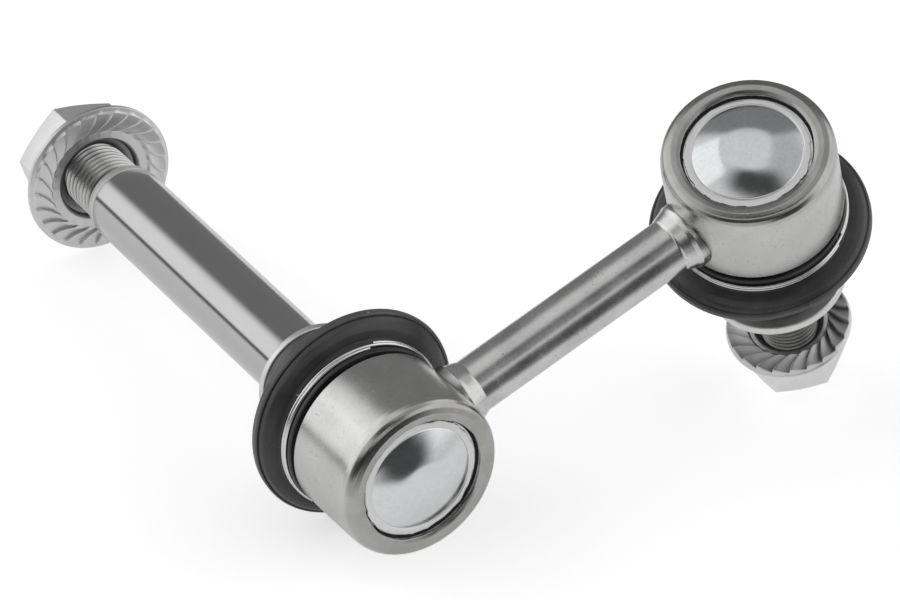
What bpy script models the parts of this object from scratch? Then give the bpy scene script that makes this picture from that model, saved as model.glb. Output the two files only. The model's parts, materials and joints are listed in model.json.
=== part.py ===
"""Stabilizer link: a welded rod with a crimped ball joint, a rubber boot and a flange nut at each end."""

import math

import bmesh
import bpy
from mathutils import Matrix, Vector

MM = 0.001

# Rod and the two joint axes
CENTRE_DISTANCE = 78.0 * MM
JOINT_TWIST = math.radians(74.0)
ROD_RADIUS = 4.85 * MM
WELD_RADIUS = 5.9 * MM
WELD_LENGTH = 2.4 * MM
WELD_SHOULDER = 1.4 * MM
COPE_INSET = 1.5 * MM

# Clearances and small edges
GAP = 0.3 * MM
EDGE_BREAK = 0.3 * MM

# Housing, the same at both ends. Heights are measured from the ball's centre, the cap side up.
HOUSING_RADIUS = 15.0 * MM
HOUSING_TOP = 11.65 * MM
HOUSING_SHOULDER = 9.3 * MM
HOUSING_SKIRT = -5.5 * MM
HOUSING_BOTTOM = -10.0 * MM
HOUSING_WALL = 3.7 * MM
SEAT_FLOOR = -6.0 * MM
LIP_REACH = 3.6 * MM
LIP_ROLL_REACH = 2.0 * MM
LIP_THICKNESS = 0.6 * MM
LIP_RADIUS = HOUSING_RADIUS - LIP_REACH
LIP_CREST_RADIUS = HOUSING_RADIUS - LIP_ROLL_REACH
BOOT_GROOVE_DEPTH = 2.0 * MM
BOOT_GROOVE_HEIGHT = 3.2 * MM
BOOT_GROOVE_RADIUS = HOUSING_RADIUS - BOOT_GROOVE_DEPTH
BOOT_LEDGE_REACH = 0.6 * MM
BOOT_LEDGE_THICKNESS = 0.9 * MM
BOOT_LEDGE_RADIUS = BOOT_GROOVE_RADIUS + BOOT_LEDGE_REACH

# Pressed cover under the crimped lip
COVER_THICKNESS = 1.3 * MM
COVER_EDGE_OVERLAP = 0.7 * MM
COVER_RIM_WIDTH = 2.0 * MM
DOME_RADIUS = LIP_RADIUS - COVER_RIM_WIDTH
DOME_HEIGHT = 2.0 * MM
DOME_INSIDE_SHARE = 0.93

# Ball and its plastic seat. The housing's mouth flares to let the neck swing and its throat holds the ball.
SWING_CLEARANCE = 0.9 * MM
BALL_OVERHANG = 0.6 * MM
SEAT_WALL = 2.2 * MM
BALL_RADIUS = HOUSING_RADIUS - HOUSING_WALL - SEAT_WALL - 2 * GAP
MOUTH_RADIUS = BALL_RADIUS + SWING_CLEARANCE
THROAT_RADIUS = BALL_RADIUS - BALL_OVERHANG
BALL_FLAT_RADIUS = 3.2 * MM
SEAT_EYE_RADIUS = 3.7 * MM
SEAT_LIP_ANGLE = math.radians(-35.0)
NECK_RADIUS = 4.5 * MM
NECK_TAPER_TOP = 12.5 * MM
BOOT_SEAT_RADIUS = 7.5 * MM
BOOT_SEAT_START = 17.0 * MM
BOOT_END = 24.6 * MM

# Boot
BOOT_WALL = 1.5 * MM
BEAD_WALL = 1.0 * MM
BEAD_LIP = 0.4 * MM
CLIP_GROOVE_RADIUS = BOOT_LEDGE_RADIUS + GAP + BEAD_WALL
BOOT_BEAD_RADIUS = CLIP_GROOVE_RADIUS + BEAD_LIP
BULGE_REACH = 4.2 * MM
BULGE_RADIUS = CLIP_GROOVE_RADIUS + BULGE_REACH
BULGE_DEPTH = 12.5 * MM
BULGE_EDGE = 0.6 * MM
BULGE_ROOT_RADIUS = CLIP_GROOVE_RADIUS + GAP
BULGE_ROOT_DEPTH = 15.6 * MM
FOLD_REACH = 0.4 * MM
FOLD_RADIUS = BULGE_ROOT_RADIUS + FOLD_REACH
FOLD_DEPTH = 16.4 * MM
FOLD_HALF = 0.8 * MM
BOOT_NECK_WALL = 1.2 * MM
BOOT_CUFF = 1.2 * MM
BOOT_NECK_DEPTH = BOOT_END - BOOT_CUFF
BULGE_SHIFT = {"a": (0.7 * MM, -0.3 * MM), "b": (0.0, 0.6 * MM)}

# Spring clip round the boot, and the sleeve in its neck
CLIP_GROOVE_TOP = -6.7 * MM
CLIP_WIRE = 0.8 * MM
CLIP_PITCH = 0.9 * MM
CLIP_TURNS = 1.94
SLEEVE_WALL = 1.0 * MM
SLEEVE_LENGTH = 3.0 * MM
BOOT_NECK_RADIUS = BOOT_SEAT_RADIUS + SLEEVE_WALL + 2 * GAP + BOOT_NECK_WALL

# Studs and nuts. Depths run from the ball's centre towards the nut.
LEAN = {"a": math.radians(4.5), "b": math.radians(4.4)}
LEAN_DIRECTION = {"a": math.radians(114.0), "b": math.radians(97.0)}
COLLAR_RADIUS = {"a": 10.3 * MM, "b": 12.2 * MM}
COLLAR_THICKNESS = {"a": 1.5 * MM, "b": 1.9 * MM}
THREAD_RADIUS = {"a": 6.0 * MM, "b": 5.0 * MM}
THREAD_CHAMFER = 0.9 * MM
SHANK_RADIUS = 7.0 * MM
SHANK_END = 97.6 * MM
THREAD_TOP = {"a": SHANK_END, "b": BOOT_END + GAP + COLLAR_THICKNESS["b"]}
THREAD_LENGTH = {"a": 19.5 * MM, "b": 23.2 * MM}
STUD_END = {end: THREAD_TOP[end] + length for end, length in THREAD_LENGTH.items()}
SHANK_CHAMFER = 0.7 * MM
UNDERCUT_LENGTH = 2.1 * MM
UNDERCUT_DEPTH = 0.9 * MM
NUT_RUN = {"a": 7.9 * MM, "b": 12.9 * MM}
NUT_FACE = {end: THREAD_TOP[end] + run for end, run in NUT_RUN.items()}
NUT_HEIGHT = {"a": 11.1 * MM, "b": 10.6 * MM}
NUT_ACROSS_FLATS = {"a": 19.0 * MM, "b": 15.4 * MM}
NUT_PHASE = {"a": math.radians(28.0), "b": math.radians(25.0)}
NUT_CHAMFER = 1.0 * MM
NUT_CORNER_CHAMFER = 0.75 * MM
NUT_END_SHARE = 0.95
FLANGE_RADIUS = {"a": 13.85 * MM, "b": 11.05 * MM}
FLANGE_RIM = 0.4 * MM
FLANGE_SLOPE = {"a": 2.0 * MM, "b": 1.3 * MM}
NUT_MOUTH_RADIUS = {"a": 7.9 * MM, "b": 6.2 * MM}
NUT_MOUTH_DEPTH = 1.6 * MM
NUT_RING_WIDTH = {"a": 1.5 * MM, "b": 0.7 * MM}

# Saw teeth on the nuts' bearing faces. Each rises in a steep wall and runs down to the next one's foot.
TOOTH_COUNT = {"a": 25, "b": 22}
TOOTH_PHASE = {"a": math.radians(12.2), "b": math.radians(4.3)}
TOOTH_HEIGHT = {"a": 0.5 * MM, "b": 0.8 * MM}
TOOTH_RIM_DROP = {"a": 0.8 * MM, "b": 1.3 * MM}
TOOTH_TWIST = {"a": math.radians(18.5), "b": math.radians(21.0)}
TOOTH_TWIST_POWER = 2.0
TOOTH_CREST_SHARE = 0.14
TOOTH_MARGIN = 0.75 * MM
TOOTH_RUN_IN = 0.5 * MM

# Turned pieces: sides of a full turn
ROUND_SIDES = 32
INNER_SIDES = 24
STUD_SIDES = 26
CLIP_STEPS_PER_TURN = 22

# Rolled lip's outside, as shares of its reach outwards and of its rise, from the crest to the shoulder
ROLL_ANGLES = (0.0, 0.6, 1.1, math.pi / 2)
ROLL_SHAPE = [(math.sin(a), math.cos(a)) for a in ROLL_ANGLES]

MATERIALS = {
    "zinc_steel": ((0.62, 0.62, 0.60), 0.32, 1.0),
    "ground_steel": ((0.56, 0.56, 0.55), 0.26, 1.0),
    "bright_zinc": ((0.74, 0.76, 0.77), 0.22, 1.0),
    "spring_steel": ((0.70, 0.70, 0.69), 0.25, 1.0),
    "boot_rubber": ((0.022, 0.022, 0.022), 0.55, 0.0),
    "seat_plastic": ((0.78, 0.77, 0.72), 0.45, 0.0),
}


def clear_scene():
    for item in list(bpy.data.objects):
        bpy.data.objects.remove(item)


def material_named(name):
    """The Principled material of one finish, made when it is first asked for."""
    found = bpy.data.materials.get(name)
    if found:
        return found
    colour, roughness, metallic = MATERIALS[name]
    made = bpy.data.materials.new(name)
    made.use_nodes = True
    shader = made.node_tree.nodes["Principled BSDF"]
    shader.inputs["Base Color"].default_value = (*colour, 1.0)
    shader.inputs["Roughness"].default_value = roughness
    shader.inputs["Metallic"].default_value = metallic
    return made


def add_empty(name, parent=None):
    empty = bpy.data.objects.new(name, None)
    bpy.context.scene.collection.objects.link(empty)
    empty.parent = parent
    return empty


def add_object(name, bm, parent, finish, sharp_angle=math.radians(32.0)):
    """Turns a finished bmesh into one named object with its faces out and its round sides smooth."""
    bmesh.ops.recalc_face_normals(bm, faces=bm.faces)
    mesh = bpy.data.meshes.new(name)
    bm.to_mesh(mesh)
    bm.free()
    mesh.shade_smooth()
    mesh.set_sharp_from_angle(angle=sharp_angle)
    mesh.materials.append(material_named(finish))
    made = bpy.data.objects.new(name, mesh)
    bpy.context.scene.collection.objects.link(made)
    made.parent = parent
    return made


def arc(centre, radius, start, end, steps):
    """Points (r, z) of an arc in a turned profile, both ends included. Angles run from +r towards +z."""
    turns = [start + (end - start) * step / steps for step in range(steps + 1)]
    return [(centre[0] + radius * math.cos(a), centre[1] + radius * math.sin(a)) for a in turns]


def turned_mesh(profile, sides, closed=True):
    """A profile of (r, z) points spun a full turn about Z. An open profile starts and ends on the axis."""
    bm = bmesh.new()
    points = [bm.verts.new((r, 0.0, z)) for r, z in profile]
    edges = [bm.edges.new(pair) for pair in zip(points, points[1:])]
    if closed:
        edges.append(bm.edges.new((points[-1], points[0])))
    bmesh.ops.spin(
        bm,
        geom=points + edges,
        cent=(0.0, 0.0, 0.0),
        axis=(0.0, 0.0, 1.0),
        angle=2.0 * math.pi,
        steps=sides,
    )
    bmesh.ops.remove_doubles(bm, verts=bm.verts, dist=1e-6)
    return bm


def lean_matrix(end, share=1.0):
    """The turn about the ball's centre that leans the cap direction over by a share of the stud's lean."""
    direction = LEAN_DIRECTION[end]
    axis = Vector((-math.sin(direction), math.cos(direction), 0.0))
    return Matrix.Rotation(LEAN[end] * share, 4, axis)


def add_housing(end, parent):
    """Forged cup: a bored cylinder with its top edge rolled in over the cover and a boot groove below."""
    bore = HOUSING_RADIUS - HOUSING_WALL
    cover_bore = LIP_RADIUS + COVER_EDGE_OVERLAP + GAP
    lip_under = HOUSING_TOP - LIP_THICKNESS
    cover_seat = lip_under - COVER_THICKNESS - 2 * GAP
    groove_bottom = HOUSING_BOTTOM + BOOT_LEDGE_THICKNESS
    groove_top = groove_bottom + BOOT_GROOVE_HEIGHT
    roll_out = HOUSING_RADIUS - LIP_CREST_RADIUS
    roll_up = HOUSING_TOP - HOUSING_SHOULDER
    rolled = [(LIP_CREST_RADIUS + roll_out * r, HOUSING_SHOULDER + roll_up * z) for r, z in ROLL_SHAPE]
    profile = [
        (LIP_RADIUS, lip_under),
        (LIP_RADIUS + EDGE_BREAK, HOUSING_TOP - EDGE_BREAK),
        *rolled,
        (HOUSING_RADIUS, HOUSING_SKIRT + EDGE_BREAK),
        (HOUSING_RADIUS - EDGE_BREAK, HOUSING_SKIRT),
        (BOOT_GROOVE_RADIUS, groove_top),
        (BOOT_GROOVE_RADIUS, groove_bottom),
        (BOOT_LEDGE_RADIUS, groove_bottom),
        (BOOT_LEDGE_RADIUS, HOUSING_BOTTOM),
        (MOUTH_RADIUS, HOUSING_BOTTOM),
        (THROAT_RADIUS, SEAT_FLOOR),
        (bore, SEAT_FLOOR),
        (bore, cover_seat),
        (cover_bore, cover_seat),
        (cover_bore, lip_under),
    ]
    return add_object(f"housing_{end}", turned_mesh(profile, ROUND_SIDES), parent, "zinc_steel")


def add_cover(end, parent):
    """Pressed sheet disc with a flat rim and a low dome, held under the crimped lip."""
    rim_radius = LIP_RADIUS + COVER_EDGE_OVERLAP
    rim_top = HOUSING_TOP - LIP_THICKNESS - GAP
    sphere = (DOME_RADIUS**2 + DOME_HEIGHT**2) / (2.0 * DOME_HEIGHT)
    half = math.asin(DOME_RADIUS / sphere)
    centre = (0.0, rim_top + DOME_HEIGHT - sphere)
    outside = arc(centre, sphere, math.pi / 2, math.pi / 2 - half, 4)
    inside = [(r * DOME_INSIDE_SHARE, z - COVER_THICKNESS) for r, z in reversed(outside)]
    rim = [(rim_radius, rim_top), (rim_radius, rim_top - COVER_THICKNESS)]
    profile = [(0.0, outside[0][1]), *outside[1:], *rim, *inside[:-1], (0.0, inside[-1][1])]
    return add_object(f"cover_{end}", turned_mesh(profile, ROUND_SIDES, closed=False), parent, "bright_zinc")


def add_ball_seat(end, parent):
    """Moulded plastic bearing shell that wraps the ball past its widest line, open over the ball's flat."""
    outer = HOUSING_RADIUS - HOUSING_WALL - GAP
    top = HOUSING_TOP - LIP_THICKNESS - COVER_THICKNESS - 2 * GAP
    bottom = SEAT_FLOOR + GAP
    bearing = BALL_RADIUS + GAP
    eye_angle = math.acos(SEAT_EYE_RADIUS / bearing)
    sphere = arc((0.0, 0.0), bearing, SEAT_LIP_ANGLE, eye_angle, 8)
    profile = [(SEAT_EYE_RADIUS, top), (outer, top), (outer, bottom), (sphere[0][0], bottom), *sphere]
    return add_object(f"ball_seat_{end}", turned_mesh(profile, INNER_SIDES), parent, "seat_plastic")


def ball_and_boot_seat():
    """The part of a stud's profile from the ball's flat down to the end of the boot's seat."""
    flat_angle = math.acos(BALL_FLAT_RADIUS / BALL_RADIUS)
    neck_angle = -math.acos(NECK_RADIUS / BALL_RADIUS)
    ball = arc((0.0, 0.0), BALL_RADIUS, flat_angle, neck_angle, 8)
    neck = [
        (NECK_RADIUS, -NECK_TAPER_TOP),
        (BOOT_SEAT_RADIUS, -BOOT_SEAT_START),
        (BOOT_SEAT_RADIUS, -BOOT_END - GAP),
    ]
    return [(0.0, ball[0][1]), *ball, *neck]


def collar_profile(end):
    """The stud's flat collar below the boot, which bears on the bracket."""
    top = -BOOT_END - GAP
    bottom = top - COLLAR_THICKNESS[end]
    radius = COLLAR_RADIUS[end]
    inner = radius - EDGE_BREAK
    return [(inner, top), (radius, top - EDGE_BREAK), (radius, bottom + EDGE_BREAK), (inner, bottom)]


def thread_profile(end, start):
    """A plain cylinder of the thread's outside size with a chamfered end."""
    radius = THREAD_RADIUS[end]
    last = -STUD_END[end]
    return [(radius, start), (radius, last + THREAD_CHAMFER), (radius - THREAD_CHAMFER, last), (0.0, last)]


def add_stud(end, parent):
    """Forged ball stud. End a has a long thick shank between collar and thread, end b has none."""
    profile = ball_and_boot_seat() + collar_profile(end)
    collar_bottom = -BOOT_END - GAP - COLLAR_THICKNESS[end]
    undercut = THREAD_RADIUS[end] - UNDERCUT_DEPTH
    if end == "a":
        profile += [
            (SHANK_RADIUS + SHANK_CHAMFER, collar_bottom),
            (SHANK_RADIUS, collar_bottom - SHANK_CHAMFER),
            (SHANK_RADIUS, -SHANK_END + SHANK_CHAMFER),
            (SHANK_RADIUS - SHANK_CHAMFER, -SHANK_END),
        ]
    relief_top = -THREAD_TOP[end]
    relief_bottom = relief_top - UNDERCUT_LENGTH
    profile += [(undercut, relief_top), (undercut, relief_bottom)]
    profile += thread_profile(end, relief_bottom - UNDERCUT_DEPTH)
    stud = turned_mesh(profile, STUD_SIDES, closed=False)
    return add_object(f"ball_stud_{end}", stud, parent, "ground_steel")


def clip_groove_bottom():
    return CLIP_GROOVE_TOP - CLIP_TURNS * CLIP_PITCH - CLIP_WIRE - 2 * GAP


def boot_profile():
    """Closed outline of the boot's wall: bead, clip groove, bulge, small fold and neck, then back inside."""
    ledge_top = HOUSING_BOTTOM + BOOT_LEDGE_THICKNESS
    bead_inner = BOOT_GROOVE_RADIUS + GAP
    bead_top = ledge_top + BOOT_GROOVE_HEIGHT - GAP
    ledge_clear = BOOT_LEDGE_RADIUS + GAP
    edge_centre = (BULGE_RADIUS - BULGE_EDGE, -BULGE_DEPTH)
    bulge_edge = arc(edge_centre, BULGE_EDGE, math.radians(65.0), math.radians(-65.0), 3)
    bulge_inside = BULGE_RADIUS - BOOT_WALL - EDGE_BREAK
    lip_bottom = -BOOT_END + GAP
    lip_inner = BOOT_SEAT_RADIUS + GAP + SLEEVE_WALL / 2
    sleeve_groove = BOOT_SEAT_RADIUS + GAP + SLEEVE_WALL + GAP
    sleeve_top = -BOOT_END + SLEEVE_LENGTH + 2 * GAP
    outside = [
        (BOOT_BEAD_RADIUS, bead_top),
        (BOOT_BEAD_RADIUS, CLIP_GROOVE_TOP),
        (CLIP_GROOVE_RADIUS, CLIP_GROOVE_TOP - EDGE_BREAK / 2),
        (CLIP_GROOVE_RADIUS, clip_groove_bottom()),
        (BULGE_ROOT_RADIUS + EDGE_BREAK, clip_groove_bottom() - EDGE_BREAK),
        *bulge_edge,
        (BULGE_ROOT_RADIUS, -BULGE_ROOT_DEPTH),
        (FOLD_RADIUS, -FOLD_DEPTH + FOLD_HALF / 2),
        (FOLD_RADIUS, -FOLD_DEPTH - FOLD_HALF / 2),
        (FOLD_RADIUS - FOLD_HALF, -FOLD_DEPTH - FOLD_HALF),
        (BOOT_NECK_RADIUS, -BOOT_NECK_DEPTH),
        (BOOT_NECK_RADIUS, -BOOT_END),
    ]
    inside = [
        (lip_inner, -BOOT_END),
        (lip_inner, lip_bottom),
        (sleeve_groove, lip_bottom),
        (sleeve_groove, sleeve_top),
        (FOLD_RADIUS - BOOT_WALL - FOLD_HALF, -FOLD_DEPTH),
        (BULGE_ROOT_RADIUS - BOOT_WALL, -BULGE_ROOT_DEPTH + BOOT_WALL / 2),
        (bulge_inside, -BULGE_DEPTH - EDGE_BREAK),
        (bulge_inside, -BULGE_DEPTH + EDGE_BREAK / 2),
        (ledge_clear, clip_groove_bottom() - BOOT_WALL / 2),
        (ledge_clear, ledge_top),
        (bead_inner, ledge_top + EDGE_BREAK),
        (bead_inner, bead_top),
    ]
    return outside + inside


def boot_offset(end, height):
    """How far the boot's bulge sits off the axis at this height, fading out to the clip and the neck."""
    rise = (clip_groove_bottom() - height) / (clip_groove_bottom() + BULGE_DEPTH)
    fall = (height + BOOT_NECK_DEPTH - SLEEVE_LENGTH) / (BOOT_NECK_DEPTH - SLEEVE_LENGTH - BULGE_DEPTH)
    share = max(min(rise, fall, 1.0), 0.0)
    return Vector((*BULGE_SHIFT[end], 0.0)) * share


def boot_lean(end, height):
    """The boot's lean at this height: none above the clip groove's foot, the stud's below the small fold."""
    share = (clip_groove_bottom() - height) / (clip_groove_bottom() + FOLD_DEPTH)
    return lean_matrix(end, max(min(share, 1.0), 0.0))


def add_boot(end, parent):
    """Rubber boot. Below the clip it leans over with the stud, more and more down to the small fold."""
    bm = turned_mesh(boot_profile(), ROUND_SIDES)
    for vert in bm.verts:
        height = vert.co.z
        vert.co = boot_lean(end, height) @ vert.co + boot_offset(end, height)
    return add_object(f"boot_{end}", bm, parent, "boot_rubber")


def add_boot_clip(end, parent):
    """Spring wire wound about two turns round the boot, over the housing's groove."""
    steps = round(CLIP_TURNS * CLIP_STEPS_PER_TURN)
    radius = CLIP_GROOVE_RADIUS + GAP + CLIP_WIRE / 2
    top = CLIP_GROOVE_TOP - GAP - CLIP_WIRE / 2
    curve = bpy.data.curves.new(f"boot_clip_{end}", "CURVE")
    curve.dimensions = "3D"
    curve.bevel_depth = CLIP_WIRE / 2
    curve.bevel_resolution = 1
    curve.use_fill_caps = True
    spline = curve.splines.new("POLY")
    spline.points.add(steps)
    for step, point in enumerate(spline.points):
        turn = 2.0 * math.pi * step / CLIP_STEPS_PER_TURN
        height = top - CLIP_PITCH * step / CLIP_STEPS_PER_TURN
        point.co = (radius * math.cos(turn), radius * math.sin(turn), height, 1.0)
    curve.materials.append(material_named("spring_steel"))
    clip = bpy.data.objects.new(f"boot_clip_{end}", curve)
    bpy.context.scene.collection.objects.link(clip)
    clip.parent = parent
    return clip


def add_neck_sleeve(end, parent):
    """Thin steel sleeve in the boot's neck, in which the stud turns."""
    inner = BOOT_SEAT_RADIUS + GAP
    outer = inner + SLEEVE_WALL
    bottom = -BOOT_END + 2 * GAP
    top = bottom + SLEEVE_LENGTH - GAP
    profile = [(outer, top), (outer, bottom), (inner, bottom), (inner, top)]
    return add_object(f"neck_sleeve_{end}", turned_mesh(profile, INNER_SIDES), parent, "zinc_steel")


def tooth_twist(end, radius):
    """How far a tooth has swept round at this radius: nothing at its outer end, most at the bore."""
    outer = FLANGE_RADIUS[end] - TOOTH_MARGIN
    inner = NUT_MOUTH_RADIUS[end] + NUT_RING_WIDTH[end]
    share = (outer - radius) / (outer - inner)
    return TOOTH_TWIST[end] * max(min(share, 1.0), 0.0) ** TOOTH_TWIST_POWER


def nut_ring(end, radius, height, twist=0.0, drop=0.0):
    """Two points to a tooth: the wall's foot, lowered by the drop, and just after it the crest."""
    pitch = 2.0 * math.pi / TOOTH_COUNT[end]
    points = []
    for tooth in range(TOOTH_COUNT[end]):
        for share, level in ((0.0, height - drop), (TOOTH_CREST_SHARE, height)):
            angle = TOOTH_PHASE[end] + twist + pitch * (tooth + share)
            points.append((radius * math.cos(angle), radius * math.sin(angle), level))
    return points


def tooth_ring(end, radius):
    """A ring of the toothed face, swept round by the teeth's twist."""
    return nut_ring(end, radius, -NUT_FACE[end], tooth_twist(end, radius), TOOTH_HEIGHT[end])


def hexagon_ring(end, height):
    """A ring of the hexagon, with the points that lie nearest to its corners moved onto them."""
    across = NUT_ACROSS_FLATS[end] / 2
    angles = [math.atan2(y, x) for x, y, _ in nut_ring(end, 1.0, height)]
    for corner in range(6):
        target = NUT_PHASE[end] + corner * math.pi / 3
        nearest = min(range(len(angles)), key=lambda i: -math.cos(angles[i] - target))
        angles[nearest] = target
    points = []
    for angle in angles:
        side = (angle - NUT_PHASE[end] + 1e-9) % (math.pi / 3) - math.pi / 6
        reach = across / math.cos(side)
        points.append((reach * math.cos(angle), reach * math.sin(angle), height))
    return points


def add_flange_nut(end, parent):
    """Hexagon nut with a wide flange whose bearing face carries slanted saw teeth."""
    across = NUT_ACROSS_FLATS[end] / 2
    corner = across / math.cos(math.pi / 6)
    flange = FLANGE_RADIUS[end]
    face = -NUT_FACE[end]
    back = face - NUT_HEIGHT[end]
    bore = THREAD_RADIUS[end] + GAP
    mouth = NUT_MOUTH_RADIUS[end]
    ring_level = face - TOOTH_HEIGHT[end]
    tooth_inner = mouth + NUT_RING_WIDTH[end]
    tooth_outer = flange - TOOTH_MARGIN
    twist = TOOTH_TWIST[end]
    rim_top = face - TOOTH_RIM_DROP[end]
    rim_bottom = rim_top - FLANGE_RIM
    hexagon_top = rim_bottom - FLANGE_SLOPE[end]
    rings = [
        nut_ring(end, bore, back + NUT_CHAMFER),
        nut_ring(end, bore, face - NUT_MOUTH_DEPTH),
        nut_ring(end, mouth, ring_level, twist / 2),
        nut_ring(end, tooth_inner, ring_level, twist),
        tooth_ring(end, tooth_inner + TOOTH_RUN_IN),
        tooth_ring(end, (tooth_inner + tooth_outer) / 2),
        tooth_ring(end, tooth_outer),
        nut_ring(end, flange, rim_top),
        nut_ring(end, flange, rim_bottom),
        nut_ring(end, corner + EDGE_BREAK, hexagon_top + EDGE_BREAK),
        hexagon_ring(end, hexagon_top),
        hexagon_ring(end, back + NUT_CORNER_CHAMFER),
        nut_ring(end, across * NUT_END_SHARE, back),
        nut_ring(end, bore + NUT_CHAMFER / 2, back),
    ]
    bm = bmesh.new()
    loops = [[bm.verts.new(point) for point in points] for points in rings]
    for verts, following in zip(loops, loops[1:] + loops[:1]):
        around = list(range(len(verts)))
        for here, there in zip(around, around[1:] + around[:1]):
            bm.faces.new((verts[here], verts[there], following[there], following[here]))
    return add_object(f"flange_nut_{end}", bm, parent, "bright_zinc", sharp_angle=math.radians(24.0))


def add_rod(parent):
    """Drawn rod with a short weld upset at each end, coped to the round of the housings."""
    weld_start = HOUSING_RADIUS + WELD_LENGTH
    rod_start = HOUSING_RADIUS - COPE_INSET
    profile = [
        (0.0, CENTRE_DISTANCE - rod_start),
        (WELD_RADIUS, CENTRE_DISTANCE - rod_start),
        (WELD_RADIUS, CENTRE_DISTANCE - weld_start + WELD_SHOULDER),
        (ROD_RADIUS, CENTRE_DISTANCE - weld_start),
        (ROD_RADIUS, weld_start),
        (WELD_RADIUS, weld_start - WELD_SHOULDER),
        (WELD_RADIUS, rod_start),
        (0.0, rod_start),
    ]
    rod = add_object("link_rod", turned_mesh(profile, STUD_SIDES, closed=False), parent, "zinc_steel")
    rod.rotation_euler = (0.0, math.pi / 2, 0.0)
    for name, place, turn in (("cope_a", 0.0, JOINT_TWIST), ("cope_b", CENTRE_DISTANCE, 0.0)):
        reach = HOUSING_RADIUS + GAP
        depth = 2.0 * HOUSING_RADIUS
        cutter_profile = [(0.0, depth), (reach, depth), (reach, -depth), (0.0, -depth)]
        bm = turned_mesh(cutter_profile, ROUND_SIDES, closed=False)
        cutter = add_object(name, bm, parent, "zinc_steel")
        cutter.location = (place, 0.0, 0.0)
        cutter.rotation_euler = (turn, 0.0, 0.0)
        cutter.hide_render = True
        cutter.display_type = "WIRE"
        cope = rod.modifiers.new(name, "BOOLEAN")
        cope.operation = "DIFFERENCE"
        cope.object = cutter
    return rod


def add_end(end, link, place, turn):
    """One ball joint: the housing's pieces on one empty, the leaning stud's pieces on a second."""
    joint = add_empty(f"joint_{end}", link)
    joint.location = (place, 0.0, 0.0)
    joint.rotation_euler = (turn, 0.0, 0.0)
    stud_frame = add_empty(f"stud_axis_{end}", joint)
    stud_frame.matrix_local = lean_matrix(end)
    add_housing(end, joint)
    add_cover(end, joint)
    add_ball_seat(end, joint)
    add_boot(end, joint)
    add_boot_clip(end, joint)
    add_neck_sleeve(end, stud_frame)
    add_stud(end, stud_frame)
    add_flange_nut(end, stud_frame)


def end_matrix(end):
    """From an end's own frame, with the cap up, to the link's frame."""
    place = 0.0 if end == "a" else CENTRE_DISTANCE
    turn = JOINT_TWIST if end == "a" else 0.0
    return Matrix.Translation((place, 0.0, 0.0)) @ Matrix.Rotation(turn, 4, "X")


def lowest_point(frame, depth, radius, bead, down):
    """The point of a round rim, at this depth on a frame's axis, that lies furthest down."""
    axis = (frame.to_3x3() @ Vector((0.0, 0.0, 1.0))).normalized()
    across = down - axis * down.dot(axis)
    return frame @ Vector((0.0, 0.0, -depth)) + across.normalized() * radius + down * bead


def resting_up():
    """Up direction, in the link's frame, when the link lies on boot a, nut a's flange and nut b's end."""
    bulge_place = Matrix.Translation(boot_offset("a", -BULGE_DEPTH)) @ boot_lean("a", -BULGE_DEPTH)
    boot_rim = (end_matrix("a") @ bulge_place, BULGE_DEPTH, BULGE_RADIUS - BULGE_EDGE, BULGE_EDGE)
    flange_rim = (
        end_matrix("a") @ lean_matrix("a"),
        NUT_FACE["a"] + TOOTH_RIM_DROP["a"] + FLANGE_RIM / 2,
        FLANGE_RADIUS["a"],
        0.0,
    )
    nut_end = (
        end_matrix("b") @ lean_matrix("b"),
        NUT_FACE["b"] + NUT_HEIGHT["b"],
        NUT_ACROSS_FLATS["b"] / 2,
        0.0,
    )
    up = Vector((0.0, 0.0, 1.0))
    for _ in range(30):
        feet = [lowest_point(*rim, -up) for rim in (boot_rim, flange_rim, nut_end)]
        up = (feet[2] - feet[0]).cross(feet[1] - feet[0]).normalized()
        if up.z < 0.0:
            up = -up
    return up


def lay_down(link):
    """Turns the link to lie on its three feet, with the rod along X in plan, and puts the origin below it."""
    up = resting_up()
    along = Vector((1.0, 0.0, 0.0))
    along = (along - up * along.dot(up)).normalized()
    link.matrix_world = Matrix((along, up.cross(along), up)).to_4x4()
    bpy.context.view_layer.update()
    graph = bpy.context.evaluated_depsgraph_get()
    low = Vector((math.inf, math.inf, math.inf))
    high = -low
    for item in bpy.context.scene.objects:
        if item.type == "EMPTY" or item.hide_render:
            continue
        evaluated = item.evaluated_get(graph)
        mesh = evaluated.to_mesh()
        for vert in mesh.vertices:
            point = item.matrix_world @ vert.co
            low = Vector(map(min, low, point))
            high = Vector(map(max, high, point))
        evaluated.to_mesh_clear()
    middle = (low + high) / 2
    link.location = (-middle.x, -middle.y, -low.z)
    bpy.context.view_layer.update()


clear_scene()
link_frame = add_empty("link")
add_rod(link_frame)
add_end("a", link_frame, 0.0, JOINT_TWIST)
add_end("b", link_frame, CENTRE_DISTANCE, 0.0)
lay_down(link_frame)
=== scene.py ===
"""Stabilizer link: a welded rod with a crimped ball joint, a rubber boot and a flange nut at each end."""

import json
import math

import bpy
import numpy as np
from mathutils import Matrix, Vector


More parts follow.
